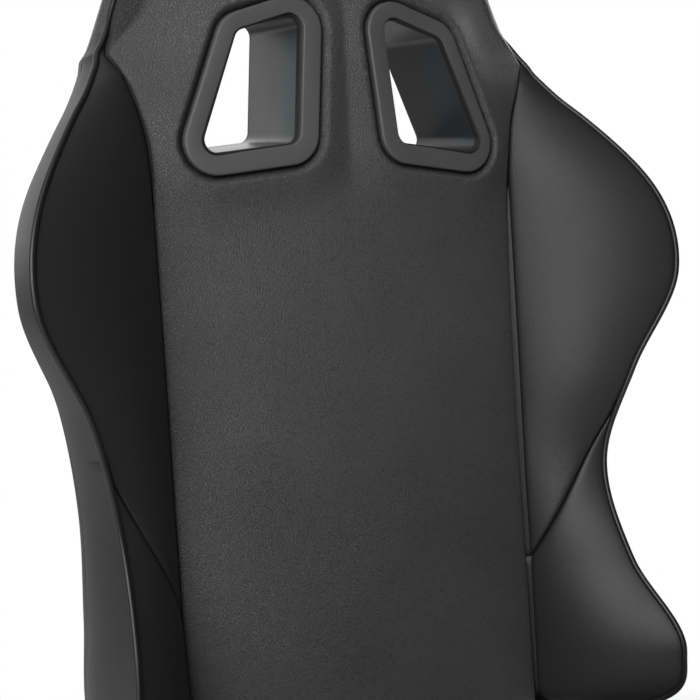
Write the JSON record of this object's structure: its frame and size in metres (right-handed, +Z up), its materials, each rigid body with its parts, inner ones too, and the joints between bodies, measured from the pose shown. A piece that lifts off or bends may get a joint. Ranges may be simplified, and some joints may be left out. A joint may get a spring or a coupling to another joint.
{
  "type": "racing seat",
  "caption": "Reclining racing-style bucket seat with winged back, two harness slots, recline lever and sliding floor rails.",
  "frame": {"origin": "middle of the four floor bolt holes, on the floor plane under the rail feet", "axes": "+Z up, +Y to the rear of the seat, +X across to the occupant's left"},
  "size_m": [0.5564, 0.6855, 1.0346],
  "materials": {
    "grained_leather": "fine grained synthetic leather",
    "smooth_leather": "smooth synthetic leather",
    "moulded_black": "fine textured moulded plastic",
    "tunnel_lining": "satin moulded plastic",
    "shield_plastic": "grained moulded plastic",
    "black_steel": "black powder coated steel",
    "zinc_steel": "zinc plated steel",
    "bright_steel": "bright ground steel",
    "cage_plastic": "natural nylon",
    "grip_rubber": "matt rubber",
    "strap_webbing": "woven elastic webbing"
  },
  "bodies": {
    "floor_rails": {"lower_rail_right": "zinc_steel", "lower_rail_left": "zinc_steel", "rail_foot_front_right": "zinc_steel", "rail_foot_front_left": "zinc_steel", "rail_foot_rear_right": "zinc_steel", "rail_foot_rear_left": "zinc_steel", "foot_screws": "zinc_steel"},
    "cage_right": {"ball_cage_right": "cage_plastic", "rail_balls_right": "bright_steel"},
    "cage_left": {"ball_cage_left": "cage_plastic", "rail_balls_left": "bright_steel"},
    "seat_base": {"upper_rail_right": "zinc_steel", "upper_rail_left": "zinc_steel", "side_frame_right": "black_steel", "side_frame_left": "black_steel", "frame_screws": "zinc_steel", "front_cross_tube": "black_steel", "rear_cross_tube": "black_steel", "seat_pan": "black_steel", "seat_cushion": "grained_leather", "thigh_bolster_right": "smooth_leather", "thigh_bolster_left": "smooth_leather", "recliner_fixed_disc_right": "zinc_steel", "recliner_fixed_disc_left": "zinc_steel", "side_shield_right": "shield_plastic", "side_shield_left": "shield_plastic", "latch_pin_right": "zinc_steel", "latch_pin_left": "zinc_steel"},
    "backrest": {"back_frame": "black_steel", "harness_bar": "black_steel", "back_lower_bar": "black_steel", "back_straps": "strap_webbing", "recliner_arm_right": "black_steel", "recliner_arm_left": "black_steel", "recliner_moving_disc_right": "zinc_steel", "recliner_moving_disc_left": "zinc_steel", "back_centre_pad": "grained_leather", "shoulder_wing_right": "smooth_leather", "shoulder_wing_left": "smooth_leather", "lumbar_wing_right": "smooth_leather", "lumbar_wing_left": "smooth_leather", "back_rear_cover": "smooth_leather", "back_lower_panel": "shield_plastic", "slot_sleeve_right": "tunnel_lining", "slot_sleeve_left": "tunnel_lining", "slot_bezel_front_right": "moulded_black", "slot_bezel_front_left": "moulded_black", "slot_bezel_rear_right": "moulded_black", "slot_bezel_rear_left": "moulded_black"},
    "recline_lever": {"recline_rod": "black_steel", "recline_lever": "black_steel", "lever_grip": "shield_plastic", "lever_screw": "zinc_steel"},
    "slide_handle": {"slide_bar": "black_steel", "slide_grip": "grip_rubber", "latch_plate_right": "black_steel", "latch_plate_left": "black_steel"}
  },
  "joints": [
    {"name": "seat_slide", "type": "slide", "parent": "floor_rails", "child": "seat_base", "axis": [0, 1, 0], "range_m": [-0.08, 0.08]},
    {"name": "cage_slide_right", "type": "slide", "parent": "floor_rails", "child": "cage_right", "axis": [0, 1, 0], "range_m": [-0.04, 0.04]},
    {"name": "cage_slide_left", "type": "slide", "parent": "floor_rails", "child": "cage_left", "axis": [0, 1, 0], "range_m": [-0.04, 0.04]},
    {"name": "recline", "type": "hinge", "parent": "seat_base", "child": "backrest", "pos_m": [0, 0.205, 0.19], "axis": [-1, 0, 0], "range_deg": [-8, 50]},
    {"name": "lever_pull", "type": "hinge", "parent": "seat_base", "child": "recline_lever", "pos_m": [0, 0.205, 0.19], "axis": [-1, 0, 0], "range_deg": [0, 30], "stiffness_Nm_per_rad": 2, "springref_deg": -17.19},
    {"name": "slide_handle_lift", "type": "hinge", "parent": "seat_base", "child": "slide_handle", "pos_m": [0, -0.04, 0.056], "axis": [-1, 0, 0], "range_deg": [0, 8], "stiffness_Nm_per_rad": 4, "springref_deg": -17.19}
  ],
  "couplings": [
    {"joint": "cage_slide_right", "follows": "seat_slide", "ratio": 0.5},
    {"joint": "cage_slide_left", "follows": "seat_slide", "ratio": 0.5}
  ]
}
